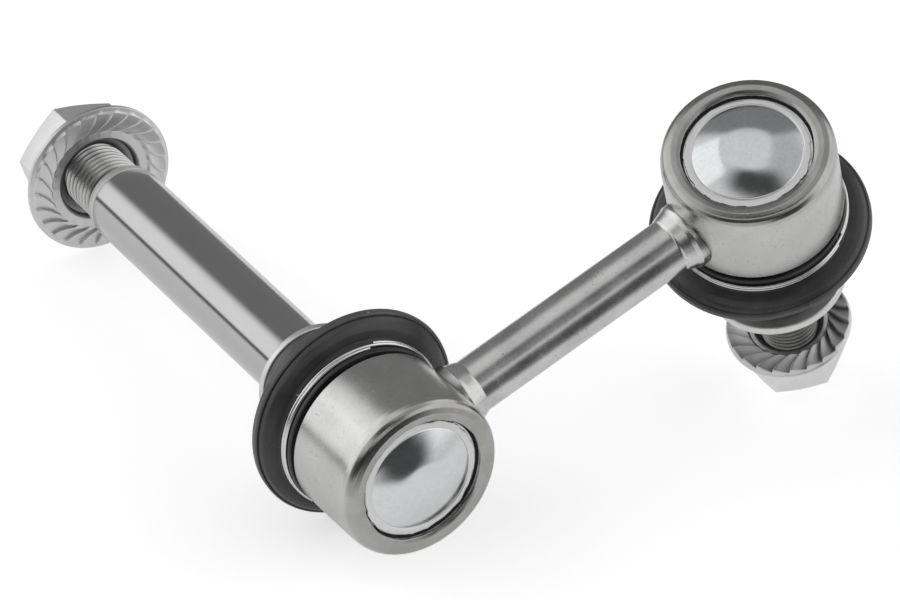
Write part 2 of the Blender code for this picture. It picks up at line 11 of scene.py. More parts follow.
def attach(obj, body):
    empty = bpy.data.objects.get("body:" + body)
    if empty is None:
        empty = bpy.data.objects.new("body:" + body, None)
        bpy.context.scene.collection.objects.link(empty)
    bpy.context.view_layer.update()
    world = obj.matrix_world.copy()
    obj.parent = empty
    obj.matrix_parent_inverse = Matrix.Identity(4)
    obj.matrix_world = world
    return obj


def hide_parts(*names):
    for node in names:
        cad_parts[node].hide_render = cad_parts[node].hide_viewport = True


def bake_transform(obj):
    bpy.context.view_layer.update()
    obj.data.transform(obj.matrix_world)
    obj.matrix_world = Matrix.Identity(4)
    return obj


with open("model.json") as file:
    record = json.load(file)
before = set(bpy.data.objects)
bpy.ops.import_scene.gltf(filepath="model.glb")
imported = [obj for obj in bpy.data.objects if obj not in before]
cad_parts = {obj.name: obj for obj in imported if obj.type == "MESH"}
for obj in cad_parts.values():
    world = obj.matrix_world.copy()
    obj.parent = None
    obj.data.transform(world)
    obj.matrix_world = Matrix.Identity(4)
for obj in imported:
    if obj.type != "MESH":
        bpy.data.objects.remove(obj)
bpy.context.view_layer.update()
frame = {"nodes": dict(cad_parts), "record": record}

# Link rod: one drawn bar of zinc-plated steel, upset a little at each end and welded to the
# housings. The plating is mottled and pitted, and the ends are coped to the housings' round.
MM = 0.001
ENDS = ("a", "b")
ROD_RADIUS = 4.85
FLARE_RADIUS = 5.07
UPSET_FOOT = 5.62
UPSET_RADIUS = 6.0
ROD_SEAT = 13.0
HOUSING_RADIUS = 15.0
COPE_GAP = 0.04
SOOT_OFFSET = 0.4
SOOT_WIDTH = 0.9
MERGE = 2e-7
joints = {joint["name"]: joint for joint in frame["record"]["behaviour"]["joints"]}
centre = {end: Vector(joints[f"swivel_{end}"]["pos_m"]) for end in ENDS}
rod_along = (centre["b"] - centre["a"]).normalized()
rod_length = (centre["b"] - centre["a"]).length / MM


def housing_frame(end):
    """The housing's frame at its ball's centre: Z is the cap side, and X runs along the rod."""
    cap = Vector(joints[f"swivel_{end}"]["axis"]).normalized()
    across = cap.cross(rod_along).normalized()
    turn = Matrix((across.cross(cap), across, cap)).transposed()
    return Matrix.Translation(centre[end]) @ turn.to_4x4()


def rounded(corners, closed=False, steps=6):
    """Corners (r, z, radius) in millimetres joined by straight lines, each corner turned on its radius."""
    points = []
    count = len(corners)
    for index, (r, z, radius) in enumerate(corners):
        here = Vector((r, z))
        if radius <= 0.0 or (not closed and index in (0, count - 1)):
            points.append((r, z))
            continue
        before = Vector(corners[index - 1][:2]) - here
        after = Vector(corners[(index + 1) % count][:2]) - here
        half = before.angle(after) / 2
        if half > math.radians(89.0):
            points.append((r, z))
            continue
        reach = min(radius / math.tan(half), 0.48 * before.length, 0.48 * after.length)
        radius = reach * math.tan(half)
        middle = here + (before.normalized() + after.normalized()).normalized() * radius / math.sin(half)
        start = here + before.normalized() * reach - middle
        end = here + after.normalized() * reach - middle
        for step in range(steps + 1):
            point = middle + start.slerp(end, step / steps).normalized() * radius
            points.append((point.x, point.y))
    return points


def deselect():
    if bpy.context.mode != "OBJECT":
        bpy.ops.object.mode_set(mode="OBJECT")
    bpy.ops.object.select_all(action="DESELECT")


def select_only(piece):
    deselect()
    piece.select_set(True)
    bpy.context.view_layer.objects.active = piece


def finish_piece(piece, name, matrix=None, angle=32.0):
    """Names the piece, puts its place into its mesh and shades its round sides smooth."""
    select_only(piece)
    piece.name = name
    piece.data.name = name
    if matrix is not None:
        piece.matrix_world = matrix
    bpy.ops.object.transform_apply(location=True, rotation=True, scale=True)
    bpy.ops.object.shade_smooth_by_angle(angle=math.radians(angle))
    return piece


def drawn(outline, closed):
    """An outline in the plane of X and Z, drawn by extruding one point along it."""
    deselect()
    bpy.ops.mesh.primitive_plane_add(size=MM, location=(0.0, 0.0, 0.0))
    piece = bpy.context.object
    bpy.ops.object.mode_set(mode="EDIT")
    bpy.ops.mesh.select_all(action="SELECT")
    bpy.ops.mesh.merge(type="CENTER")
    points = [Vector((r * MM, 0.0, z * MM)) for r, z in outline]
    if closed:
        points.append(points[0])
    bpy.ops.transform.translate(value=points[0])
    for here, there in zip(points, points[1:]):
        bpy.ops.mesh.extrude_vertices_move(TRANSFORM_OT_translate={"value": there - here})
    bpy.ops.mesh.select_all(action="SELECT")
    bpy.ops.mesh.remove_doubles(threshold=MERGE)
    return piece


def turned(name, outline, matrix=None, sides=128, closed=False, angle=32.0):
    """A turned piece: its outline spun a full turn about Z."""
    piece = drawn(outline, closed)
    bpy.ops.mesh.spin(steps=sides, angle=math.tau, center=(0, 0, 0), axis=(0, 0, 1))
    bpy.ops.mesh.select_all(action="SELECT")
    bpy.ops.mesh.remove_doubles(threshold=MERGE)
    bpy.ops.mesh.normals_make_consistent(inside=False)
    bpy.ops.object.mode_set(mode="OBJECT")
    return finish_piece(piece, name, matrix, angle)


def cut_with(piece, tool, operation):
    """Cuts a piece with a tool, which is then thrown away."""
    cut = piece.modifiers.new("cut", "BOOLEAN")
    cut.operation = operation
    cut.solver = "EXACT"
    cut.object = tool
    select_only(piece)
    bpy.ops.object.modifier_apply(modifier=cut.name)
    bpy.data.objects.remove(tool)


def node(tree, kind, inputs=None, **settings):
    """One shader node with its settings. An input is a number, a colour or another node's output."""
    made = tree.nodes.new(kind)
    for key, value in settings.items():
        setattr(made, key, value)
    for key, value in (inputs or {}).items():
        socket = made.inputs[key]
        if isinstance(value, bpy.types.NodeSocket):
            tree.links.new(value, socket)
        else:
            socket.default_value = value
    return made


def maths(tree, operation, first, second=0.0):
    return node(tree, "ShaderNodeMath", {0: first, 1: second}, operation=operation).outputs[0]


def summed(tree, start, *parts):
    """A start value with each part added, times its share."""
    total = start
    for value, share in parts:
        total = maths(tree, "ADD", total, maths(tree, "MULTIPLY", value, share))
    return total


def noise(tree, vector, scale, detail=2.0, roughness=0.5):
    inputs = {"Vector": vector, "Scale": scale, "Detail": detail, "Roughness": roughness}
    return node(tree, "ShaderNodeTexNoise", inputs).outputs[0]


def mixed(tree, share, first, second, blend="MIX"):
    """Two colours mixed, with this share of the second."""
    inputs = {"Factor": share, 6: first, 7: second}
    return node(tree, "ShaderNodeMix", inputs, data_type="RGBA", blend_type=blend).outputs[2]


def ramp(tree, value, stops):
    """A colour ramp's grey output for a value, from (place, grey) stops."""
    made = node(tree, "ShaderNodeValToRGB", {0: value})
    band = made.color_ramp
    while len(band.elements) < len(stops):
        band.elements.new(0.5)
    for element, (place, grey) in zip(band.elements, stops):
        element.position = place
        element.color = (grey, grey, grey, 1.0)
    return made.outputs[0]


def plating_group():
    """Zinc plating: soft clouds, fine mottle, dark pits and short scuffs, over coordinates in metres."""
    tree = bpy.data.node_groups.new("zinc_plating", "ShaderNodeTree")
    for name, kind, start in (
        ("Vector", "NodeSocketVector", (0.0, 0.0, 0.0)),
        ("Cloud", "NodeSocketFloat", 0.25),
        ("Mottle", "NodeSocketFloat", 0.25),
        ("Pits", "NodeSocketFloat", 0.5),
        ("Scuffs", "NodeSocketFloat", 0.5),
    ):
        socket = tree.interface.new_socket(name=name, in_out="INPUT", socket_type=kind)
        socket.default_value = start
    for name in ("Shade", "Rough", "Height"):
        tree.interface.new_socket(name=name, in_out="OUTPUT", socket_type="NodeSocketFloat")
    given = tree.nodes.new("NodeGroupInput").outputs
    vector = given["Vector"]
    patch = noise(tree, vector, 320.0)
    pits = ramp(tree, noise(tree, vector, 2300.0), [(0.66, 0.0), (0.74, 1.0)])
    pits = maths(tree, "MULTIPLY", pits, ramp(tree, patch, [(0.45, 0.0), (0.62, 1.0)]))
    along = {"Vector": vector, "Rotation": (0.5, 0.3, 0.9), "Scale": (2600.0, 380.0, 2600.0)}
    crossed = {"Vector": vector, "Rotation": (0.2, 1.1, -0.6), "Scale": (420.0, 3000.0, 3000.0)}
    scratch_a = noise(tree, node(tree, "ShaderNodeMapping", along).outputs[0], 1.0, 1.0)
    scratch_b = noise(tree, node(tree, "ShaderNodeMapping", crossed).outputs[0], 1.0, 1.0)
    scratch_a = ramp(tree, scratch_a, [(0.68, 0.0), (0.76, 1.0)])
    scratch_b = ramp(tree, scratch_b, [(0.69, 0.0), (0.77, 1.0)])
    scuffs = maths(tree, "MAXIMUM", scratch_a, scratch_b)
    scuffs = maths(tree, "MULTIPLY", scuffs, ramp(tree, patch, [(0.35, 0.0), (0.6, 1.0)]))
    cloud = maths(tree, "SUBTRACT", noise(tree, vector, 170.0, 3.0), 0.5)
    mottle = maths(tree, "SUBTRACT", noise(tree, vector, 1300.0, 5.0, 0.65), 0.5)
    cloud = maths(tree, "MULTIPLY", cloud, given["Cloud"])
    mottle = maths(tree, "MULTIPLY", mottle, given["Mottle"])
    pits = maths(tree, "MULTIPLY", pits, given["Pits"])
    scuffs = maths(tree, "MULTIPLY", scuffs, given["Scuffs"])
    out = tree.nodes.new("NodeGroupOutput").inputs
    shade = summed(tree, 1.0, (cloud, 1.0), (mottle, 1.0), (pits, -0.75), (scuffs, -0.22))
    rough = summed(tree, 0.0, (cloud, 0.3), (mottle, 0.35), (pits, 0.3), (scuffs, 0.12))
    height = summed(tree, 0.0, (mottle, 0.6), (pits, -1.0), (scuffs, -0.35))
    tree.links.new(shade, out["Shade"])
    tree.links.new(rough, out["Rough"])
    tree.links.new(height, out["Height"])
    return tree


zinc_plating = plating_group()


def blank_finish(name):
    """A new material with its node tree, its shader and the object coordinates that its patterns read."""
    material = bpy.data.materials.new(name)
    material.use_nodes = True
    tree = material.node_tree
    place = tree.nodes.new("ShaderNodeTexCoord").outputs["Object"]
    return material, tree, tree.nodes["Principled BSDF"], place


def emboss(tree, shader, height, depth):
    """Relief from a height of 0 to 1 that is this many millimetres deep."""
    relief = node(tree, "ShaderNodeBump", {"Height": height, "Strength": 1.0, "Distance": depth * MM})
    tree.links.new(relief.outputs[0], shader.inputs["Normal"])


def painted(tree, name):
    """The number that paint() gave the piece's points by this name."""
    return node(tree, "ShaderNodeAttribute", attribute_name=name).outputs["Fac"]


def plated(name, colour, roughness, cloud=0.25, mottle=0.25, pits=0.5, scuffs=0.5, bump=0.02, soil_and_shade=None):
    """A plated or turned steel finish, with the plating group's clouds, pits and scuffs at these strengths.

    The soil and shade argument is a painted mask's name, the colour there and what is added to the
    roughness. Its masks mark dirt, duller finishes and painted shade, each on its own pieces.
    """
    material, tree, shader, place = blank_finish(name)
    shader.inputs["Metallic"].default_value = 1.0
    strengths = {"Vector": place, "Cloud": cloud, "Mottle": mottle, "Pits": pits, "Scuffs": scuffs}
    look = node(tree, "ShaderNodeGroup", strengths, node_tree=zinc_plating)
    tint = mixed(tree, 1.0, (*colour, 1.0), look.outputs["Shade"], "MULTIPLY")
    rough = maths(tree, "ADD", look.outputs["Rough"], roughness)
    if soil_and_shade:
        mask_name, soil_and_shade_colour, soil_and_shade_rough = soil_and_shade
        patchy = ramp(tree, noise(tree, place, 210.0, 5.0, 0.6), [(0.3, 0.6), (0.6, 1.0)])
        patchy = maths(tree, "MULTIPLY", painted(tree, mask_name), patchy)
        tint = mixed(tree, patchy, tint, (*soil_and_shade_colour, 1.0))
        rough = summed(tree, rough, (patchy, soil_and_shade_rough))
    rough = node(tree, "ShaderNodeClamp", {"Value": rough, "Min": 0.05, "Max": 0.9}).outputs[0]
    tree.links.new(tint, shader.inputs["Base Color"])
    tree.links.new(rough, shader.inputs["Roughness"])
    emboss(tree, shader, look.outputs["Height"], bump)
    return material


def clipped(value):
    return min(max(value, 0.0), 1.0)


def paint(piece, name, value_of):
    """Gives each point of a piece a number from 0 to 1, which its material reads by this name."""
    mask = piece.data.attributes.new(name=name, type="FLOAT", domain="POINT")
    mask.data.foreach_set("value", [clipped(value_of(vert.co)) for vert in piece.data.vertices])


def dress(piece, material, body, slot, *nodes):
    """Gives a finished piece its material and body, hides the solids it stands for. The slot is not used.
    """
    piece.data.materials.clear()
    piece.data.materials.append(material)
    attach(piece, body)
    if nodes:
        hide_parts(*nodes)


def weld_soot(point):
    """Dark heat marks of the weld: a thin line at each housing, thinning out along the rod."""
    line = HOUSING_RADIUS + SOOT_OFFSET
    nearest = min(abs((point - centre[end]).length / MM - line) for end in ENDS)
    return 1.0 - nearest / SOOT_WIDTH


rod_steel = plated(
    "rod_zinc",
    (0.70, 0.705, 0.695),
    0.24,
    cloud=0.5,
    mottle=0.3,
    pits=0.9,
    scuffs=0.8,
    bump=0.012,
    soil_and_shade=("weld_soot", (0.13, 0.125, 0.115), 0.12),
)
rod_corners = [
    (0.0, ROD_SEAT, 0.0),
    (UPSET_RADIUS, ROD_SEAT, 0.0),
    (UPSET_RADIUS, 15.3, 0.4),
    (UPSET_FOOT, 16.0, 0.5),
    (FLARE_RADIUS, 17.6, 0.6),
    (ROD_RADIUS, 18.0, 0.6),
    (ROD_RADIUS, rod_length - 18.2, 0.6),
    (FLARE_RADIUS, rod_length - 17.8, 0.6),
    (UPSET_FOOT, rod_length - 16.1, 0.5),
    (UPSET_RADIUS, rod_length - 15.3, 0.4),
    (UPSET_RADIUS, rod_length - ROD_SEAT, 0.0),
    (0.0, rod_length - ROD_SEAT, 0.0),
]
rod_turn = housing_frame("a").to_3x3() @ Matrix.Rotation(math.pi / 2, 3, "Y")
rod_place = Matrix.Translation(centre["a"]) @ rod_turn.to_4x4()
rod = turned("link_rod_bar", rounded(rod_corners), rod_place, sides=96)
for end in ENDS:
    deselect()
    cope_radius = (HOUSING_RADIUS + COPE_GAP) * MM
    bpy.ops.mesh.primitive_cylinder_add(vertices=192, radius=cope_radius, depth=40 * MM)
    cope = bpy.context.object
    cope.matrix_world = housing_frame(end)
    cut_with(rod, cope, "DIFFERENCE")
finish_piece(rod, "link_rod_bar", angle=30.0)
paint(rod, "weld_soot", weld_soot)
dress(rod, rod_steel, "link", "zinc_steel", "link_rod")

# Housings: forged steel cups, turned outside and zinc plated. The top edge is rolled in over the
# cover, and a groove near the bottom takes the boot's bead.
LIP_BREAK = 11.9
LIP_FADE = 0.6
housing_steel = plated(
    "housing_zinc",
    (0.665, 0.665, 0.65),
    0.24,
    cloud=0.3,
    mottle=0.2,
    pits=0.45,
    scuffs=0.7,
    bump=0.012,
    soil_and_shade=("lip_soil", (0.43, 0.425, 0.41), -0.04),
)
housing_corners = [
    (11.32, 10.2, 0.0),
    (11.32, 11.38, 0.14),
    (12.0, 11.56, 0.6),
    (12.9, 11.7, 0.5),
    (13.85, 11.45, 0.9),
    (14.35, 11.02, 0.9),
    (14.74, 10.4, 1.2),
    (14.95, 9.5, 1.5),
    (HOUSING_RADIUS, 8.5, 2.0),
    (HOUSING_RADIUS, -5.1, 0.2),
    (14.7, -5.5, 0.2),
    (13.0, -5.9, 0.1),
    (13.0, -9.1, 0.1),
    (13.6, -9.1, 0.1),
    (13.6, -10.0, 0.1),
    (9.4, -10.0, 0.3),
    (7.9, -6.0, 0.2),
    (11.3, -6.0, 0.1),
    (11.3, 9.1, 0.1),
    (12.4, 9.1, 0.1),
    (12.4, 10.2, 0.1),
]


def round_place(point):
    """A point's angle round Z, and how far from Z it is in millimetres."""
    return math.atan2(point.y, point.x), math.hypot(point.x, point.y) / MM


def hash_noise(*values):
    """A steady number from 0 to 1 for these values."""
    jumble = sum((index + 1.7) * 12.9898 * value for index, value in enumerate(values))
    return math.sin(jumble) * 43758.5453 % 1.0


for end in ENDS:
    outline = rounded(housing_corners, closed=True)
    housing = turned(f"housing_cup_{end}", outline, sides=160, closed=True)
    # The rolled lip's inner edge is a little ragged.
    for vert in housing.data.vertices:
        turn, reach = round_place(vert.co)
        if reach < LIP_BREAK and vert.co.z / MM > 10.5:
            wave = 0.05 * math.sin(5 * turn + 1.3) + 0.04 * math.sin(13 * turn)
            wave += 0.05 * hash_noise(round(turn, 2))
            vert.co.xy *= 1.0 + (wave * (LIP_BREAK - reach) / LIP_FADE) / reach
    paint(housing, "lip_soil", lambda point: (point.z / MM - 10.1) / 0.8)
    finish_piece(housing, housing.name, housing_frame(end))
    dress(housing, housing_steel, "link", "zinc_steel", f"housing_{end}")

# Covers: discs pressed from bright zinc-plated sheet, with a flat rim and a low dome. They sit
# below the rolled lip in a ragged groove, where a thin near-black ring is painted shade.
DOME_RADIUS = 9.4
DOME_HEIGHT = 2.0
DOME_STEPS = 64
RIM_TOP = 10.75
# How steeply the dome falls at each radius: nearly flat in the middle, then round to the rim.
SLOPE_AT = (0.0, 2.0, 3.4, 4.4, 5.4, 7.0, 8.8, 9.25, DOME_RADIUS)
SLOPES = (0.0, 0.03, 0.075, 0.18, 0.27, 0.34, 0.42, 0.45, 0.3)
# The side on which the groove is widest.
GAP_SIDE = {"a": math.radians(-50.0), "b": math.radians(40.0)}
cover_steel = plated(
    "cover_bright_zinc",
    (0.79, 0.812, 0.825),
    0.15,
    cloud=0.12,
    mottle=0.26,
    pits=0.25,
    scuffs=0.3,
    bump=0.006,
    soil_and_shade=("rim_dull", (0.84, 0.845, 0.84), 0.22),
)
dome_reach = np.linspace(0.0, DOME_RADIUS, DOME_STEPS)
dome_slope = np.interp(dome_reach, SLOPE_AT, SLOPES)
dome_steps = (dome_slope[1:] + dome_slope[:-1]) / 2 * np.diff(dome_reach)
dome_fall = np.concatenate(([0.0], np.cumsum(dome_steps)))
dome_level = RIM_TOP + DOME_HEIGHT * (1.0 - dome_fall / dome_fall[-1])
rim_corners = [
    (DOME_RADIUS, RIM_TOP, 0.0),
    (9.5, RIM_TOP - 0.1, 0.05),
    (9.62, RIM_TOP - 0.08, 0.05),
    (9.72, RIM_TOP, 0.1),
    (10.82, RIM_TOP, 0.12),
    (10.9, 10.3, 0.0),
]
cover_outline = list(zip(dome_reach.tolist(), dome_level.tolist()))
cover_outline += rounded(rim_corners)[1:]
cover_outline += [(12.0, 10.25), (12.0, 9.6), (9.2, 9.6), (0.0, 11.4)]
ring_corners = [(10.96, 10.2, 0.0), (11.02, 10.42, 0.05), (11.4, 10.44, 0.05), (11.5, 10.2, 0.0)]

# The groove ring is no real part: its near-black colour is painted shade in the gap under the lip.
groove_shade, groove_shade_tree, groove_shade_shader, groove_shade_place = blank_finish("groove_painted_shade")
groove_shade_shader.inputs["Roughness"].default_value = 0.75
groove_shade_tone = ramp(groove_shade_tree, noise(groove_shade_tree, groove_shade_place, 1500.0, 3.0), [(0.3, 0.006), (0.75, 0.03)])
groove_shade_tree.links.new(groove_shade_tone, groove_shade_shader.inputs["Base Color"])

for end in ENDS:
    cover = turned(f"cover_disc_{end}", cover_outline, sides=160)
    for vert in cover.data.vertices:
        turn, reach = round_place(vert.co)
        if 10.6 < reach < 11.3:
            wave = 0.08 * math.sin(7 * turn) + 0.07 * math.sin(19 * turn + 0.6)
            wave += 0.16 * hash_noise(round(turn, 2), 3.0) + 0.2 * math.cos(turn - GAP_SIDE[end])
            vert.co.xy *= 1.0 - wave / reach
    paint(cover, "rim_dull", lambda point: (point.xy.length / MM - DOME_RADIUS + 0.05) / 0.25)
    finish_piece(cover, cover.name, housing_frame(end))
    dress(cover, cover_steel, "link", "bright_zinc", f"cover_{end}")
    ring_outline = rounded(ring_corners, closed=True)
    ring = turned(f"groove_shade_ring_{end}", ring_outline, housing_frame(end), sides=96, closed=True)
    dress(ring, groove_shade, "link", "boot_rubber")

# Ball seats and neck sleeves, hidden inside: white bearing plastic and thin plated steel. Their
# solids stay, and only their finishes are better.
seat_plastic, seat_tree, seat_shader, seat_place = blank_finish("seat_bearing_plastic")
seat_grain = noise(seat_tree, seat_place, 400.0, 4.0)
seat_colour = mixed(seat_tree, seat_grain, (0.72, 0.71, 0.66, 1.0), (0.82, 0.81, 0.77, 1.0))
seat_rough = ramp(seat_tree, seat_grain, [(0.0, 0.38), (1.0, 0.52)])
seat_tree.links.new(seat_colour, seat_shader.inputs["Base Color"])
seat_tree.links.new(seat_rough, seat_shader.inputs["Roughness"])
sleeve_steel = plated("sleeve_zinc", (0.62, 0.62, 0.60), 0.32, cloud=0.2, mottle=0.3)
for end in ENDS:
    for solid, finish in ((f"ball_seat_{end}", seat_plastic), (f"neck_sleeve_{end}", sleeve_steel)):
        for slot in frame["nodes"][solid].material_slots:
            slot.material = finish

# Boots: moulded black rubber, held in the housing's groove by its bead, bulged out once below it
# and folded once more above the neck. The rubber leans over with the stud.
GROOVE_FOOT = -9.85
BULGE_DEPTH = 12.5
FOLD_DEPTH = 16.4
NECK_START = 20.4
# How far the bulge sits off the housing's axis, along X and Y.
BULGE_SHIFT = {"a": (0.7, -0.3), "b": (0.0, 0.6)}
boot_corners = [
    (15.1, -6.25, 0.25),
    (15.1, -7.1, 0.15),
    (14.9, -7.2, 0.1),
    (14.9, -8.9, 0.3),
    (15.3, -9.75, 0.4),
    (16.8, -10.1, 1.5),
    (17.9, -10.7, 1.5),
    (18.45, -11.4, 0.5),
    (18.58, -11.85, 0.06),
    (18.8, -11.6, 0.1),
    (19.15, -12.0, 0.35),
    (19.2, -12.95, 0.5),
    (18.8, -13.4, 0.3),
    (18.2, -13.6, 0.6),
    (15.6, -14.7, 0.8),
    (14.8, -15.4, 0.5),
    (15.5, -15.9, 0.35),
    (15.65, -16.4, 0.35),
    (15.2, -16.95, 0.4),
    (12.6, -18.3, 1.2),
    (11.0, -20.2, 1.2),
    (10.3, -22.2, 0.8),
    (10.25, -24.55, 0.3),
    (8.4, -24.55, 0.2),
    (8.4, -24.2, 0.1),
    (9.15, -24.2, 0.1),
    (9.15, -21.0, 0.4),
    (13.2, -16.6, 0.6),
    (13.5, -14.9, 0.5),
    (17.3, -12.8, 0.3),
    (17.3, -12.3, 0.3),
    (14.7, -10.6, 0.4),
    (14.25, -9.7, 0.2),
    (14.1, -8.8, 0.1),
    (13.45, -8.4, 0.1),
    (13.45, -6.3, 0.1),
]


def stud_frame(end):
    """The housing's frame leaned over to the stud's axis. The stud's tip is towards -Z."""
    cap = Vector(joints[f"swivel_{end}"]["axis"]).normalized()
    lean = cap.rotation_difference(Vector(joints[f"spin_{end}"]["axis"]).normalized())
    turn = lean.to_matrix() @ housing_frame(end).to_3x3()
    return Matrix.Translation(centre[end]) @ turn.to_4x4()


def rubber_finish():
    """Black rubber: soft bloom, moulded grain, dust specks, and paler places of wear and painted light."""
    material, tree, shader, place = blank_finish("boot_black_rubber")
    shader.inputs["Specular IOR Level"].default_value = 0.6
    bloom = noise(tree, place, 140.0, 4.0)
    grain = noise(tree, place, 3200.0, 4.0)
    cells = node(tree, "ShaderNodeTexVoronoi", {"Vector": place, "Scale": 330.0, "Randomness": 1.0})
    chosen = node(tree, "ShaderNodeSeparateColor", {0: cells.outputs["Color"]}).outputs[0]
    speck = ramp(tree, cells.outputs["Distance"], [(0.04, 1.0), (0.08, 0.0)])
    speck = maths(tree, "MULTIPLY", speck, ramp(tree, chosen, [(0.72, 0.0), (0.80, 1.0)]))
    tone = ramp(tree, bloom, [(0.3, 0.012), (0.5, 0.027), (0.75, 0.06)])
    # Paler places, part wear and part painted light on the rim, the fold and the neck.
    tone = summed(tree, tone, (painted(tree, "worn_and_lit"), ramp(tree, grain, [(0.3, 0.08), (0.7, 0.13)])))
    colour = mixed(tree, maths(tree, "MULTIPLY", speck, 0.7), tone, (0.6, 0.6, 0.58, 1.0))
    rough = summed(tree, ramp(tree, bloom, [(0.3, 0.22), (0.7, 0.42)]), (grain, 0.06))
    tree.links.new(colour, shader.inputs["Base Color"])
    tree.links.new(rough, shader.inputs["Roughness"])
    emboss(tree, shader, maths(tree, "ADD", grain, speck), 0.01)
    return material


def boot_lean(end, height):
    """How the boot's wall moves at this height.

    Above the groove's foot it stays, and below the fold it has the stud's whole lean. The bulge
    also shifts sideways.
    """
    share = clipped((GROOVE_FOOT - height) / (GROOVE_FOOT + FOLD_DEPTH))
    rise = (GROOVE_FOOT - height) / (GROOVE_FOOT + BULGE_DEPTH)
    fall = (height + NECK_START) / (NECK_START - BULGE_DEPTH)
    shift = clipped(min(rise, fall))
    local = housing_frame(end).to_3x3().inverted()
    stud = (local @ stud_frame(end).to_3x3()).to_quaternion()
    turn = Matrix.Identity(3).to_quaternion().slerp(stud, share).to_matrix().to_4x4()
    x, y = BULGE_SHIFT[end]
    return Matrix.Translation((x * shift * MM, y * shift * MM, 0.0)) @ turn


def boot_wear_and_light(point):
    """Paler rubber, part wear and part painted light: on the bulge's outer edge, the fold and the neck."""
    reach, height = point.xy.length / MM, point.z / MM
    edge = 0.7 if reach > 18.6 else 0.3 * (reach - 15.6) / 2.4
    fold = 0.8 if -17.0 < height < -15.6 and reach > 15.3 else 0.0
    neck = -16.6 - height
    return max(edge, fold, neck)


boot_rubber = rubber_finish()
for end in ENDS:
    outline = rounded(boot_corners, closed=True, steps=5)
    boot = turned(f"boot_bellows_{end}", outline, sides=160, closed=True, angle=50.0)
    # Paints paler rubber: part wear, part painted light on the bulge's edge, the fold and the neck.
    paint(boot, "worn_and_lit", boot_wear_and_light)
    leans = {}
    for vert in boot.data.vertices:
        height = round(vert.co.z / MM, 3)
        if height not in leans:
            leans[height] = boot_lean(end, height)
        vert.co = leans[height] @ vert.co
    finish_piece(boot, boot.name, housing_frame(end), angle=50.0)
    boot.data.materials.append(boot_rubber)
    there = stud_frame(end) @ Vector((0.0, 0.0, -NECK_START * MM))
    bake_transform(boot)
    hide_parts(f"boot_{end}")

# Boot clips: bright spring wire wound over the boot's bead. The wire stops just short of its second
# full turn, and both of its ends are cut square.
CLIP_RADIUS = 15.21
CLIP_WIRE = 0.64
CLIP_PITCH = 0.65
CLIP_TURNS = 1.985
CLIP_STEPS = 160
CLIP_TOP = {"a": -7.5, "b": -7.45}
CLIP_START = {"a": math.radians(65.0), "b": math.radians(-60.0)}


def wound(piece, turns, drop, steps):
    """Winds a drawn section round Z while it drops this many millimetres, and closes its two ends."""
    wind = piece.modifiers.new("wind", "SCREW")
    wind.angle = math.tau * turns
    wind.screw_offset = -drop * MM
    wind.steps = wind.render_steps = steps
    wind.use_merge_vertices = False
    bpy.ops.object.modifier_apply(modifier=wind.name)
    bpy.ops.object.mode_set(mode="EDIT")
    bpy.ops.mesh.select_all(action="DESELECT")
    bpy.ops.mesh.select_non_manifold(extend=False)
    bpy.ops.mesh.edge_face_add()
    bpy.ops.mesh.select_all(action="SELECT")
    bpy.ops.mesh.normals_make_consistent(inside=False)
    bpy.ops.object.mode_set(mode="OBJECT")


clip_steel = plated(
    "clip_spring_steel",
    (0.82, 0.82, 0.81),
    0.14,
    cloud=0.1,
    mottle=0.1,
    pits=0.1,
    scuffs=0.1,
    bump=0.003,
)
for end in ENDS:
    deselect()
    out_here = (CLIP_RADIUS * MM, 0.0, 0.0)
    bpy.ops.mesh.primitive_circle_add(vertices=16, radius=CLIP_WIRE / 2 * MM, location=out_here)
    clip = bpy.context.object
    bpy.ops.object.mode_set(mode="EDIT")
    bpy.ops.mesh.select_all(action="SELECT")
    bpy.ops.transform.rotate(value=math.pi / 2, orient_axis="X", center_override=out_here)
    bpy.ops.object.mode_set(mode="OBJECT")
    bpy.ops.object.transform_apply(location=True, rotation=True, scale=True)
    wound(clip, CLIP_TURNS, CLIP_TURNS * CLIP_PITCH, CLIP_STEPS)
    lowered = Matrix.Translation((0.0, 0.0, CLIP_TOP[end] * MM))
    spun = Matrix.Rotation(CLIP_START[end], 4, "Z")
    finish_piece(clip, f"boot_clip_wire_{end}", housing_frame(end) @ spun @ lowered, angle=50.0)
    dress(clip, clip_steel, f"boot_unit_{end}", "spring_steel", f"boot_clip_{end}")

# Ball studs: forged and turned steel, ground smooth on the shank. Stud a has a long thick shank
# between its collar and an M12 thread; stud b has a wide collar and an M10 thread straight after.
THREAD_RADIUS = {"a": 6.0, "b": 5.0}
THREAD_PITCH = {"a": 1.25, "b": 1.0}
THREAD_START = {"a": 98.2, "b": 29.4}
STUD_END = {"a": 117.1, "b": 50.0}
# Shares of the pitch: the thread's depth, half its foot and half its flat crest, and its run-out.
THREAD_DEPTH = 0.61
THREAD_FOOT = 0.46
THREAD_CREST = 0.09
THREAD_RUNOUT = 0.7
THREAD_STEPS = 48
BALL_RADIUS = 8.5
BALL_FLAT = 3.2
NECK_RADIUS = 4.5
SHOULDER_RADIUS = 8.6
COLLAR_TOP = -24.9
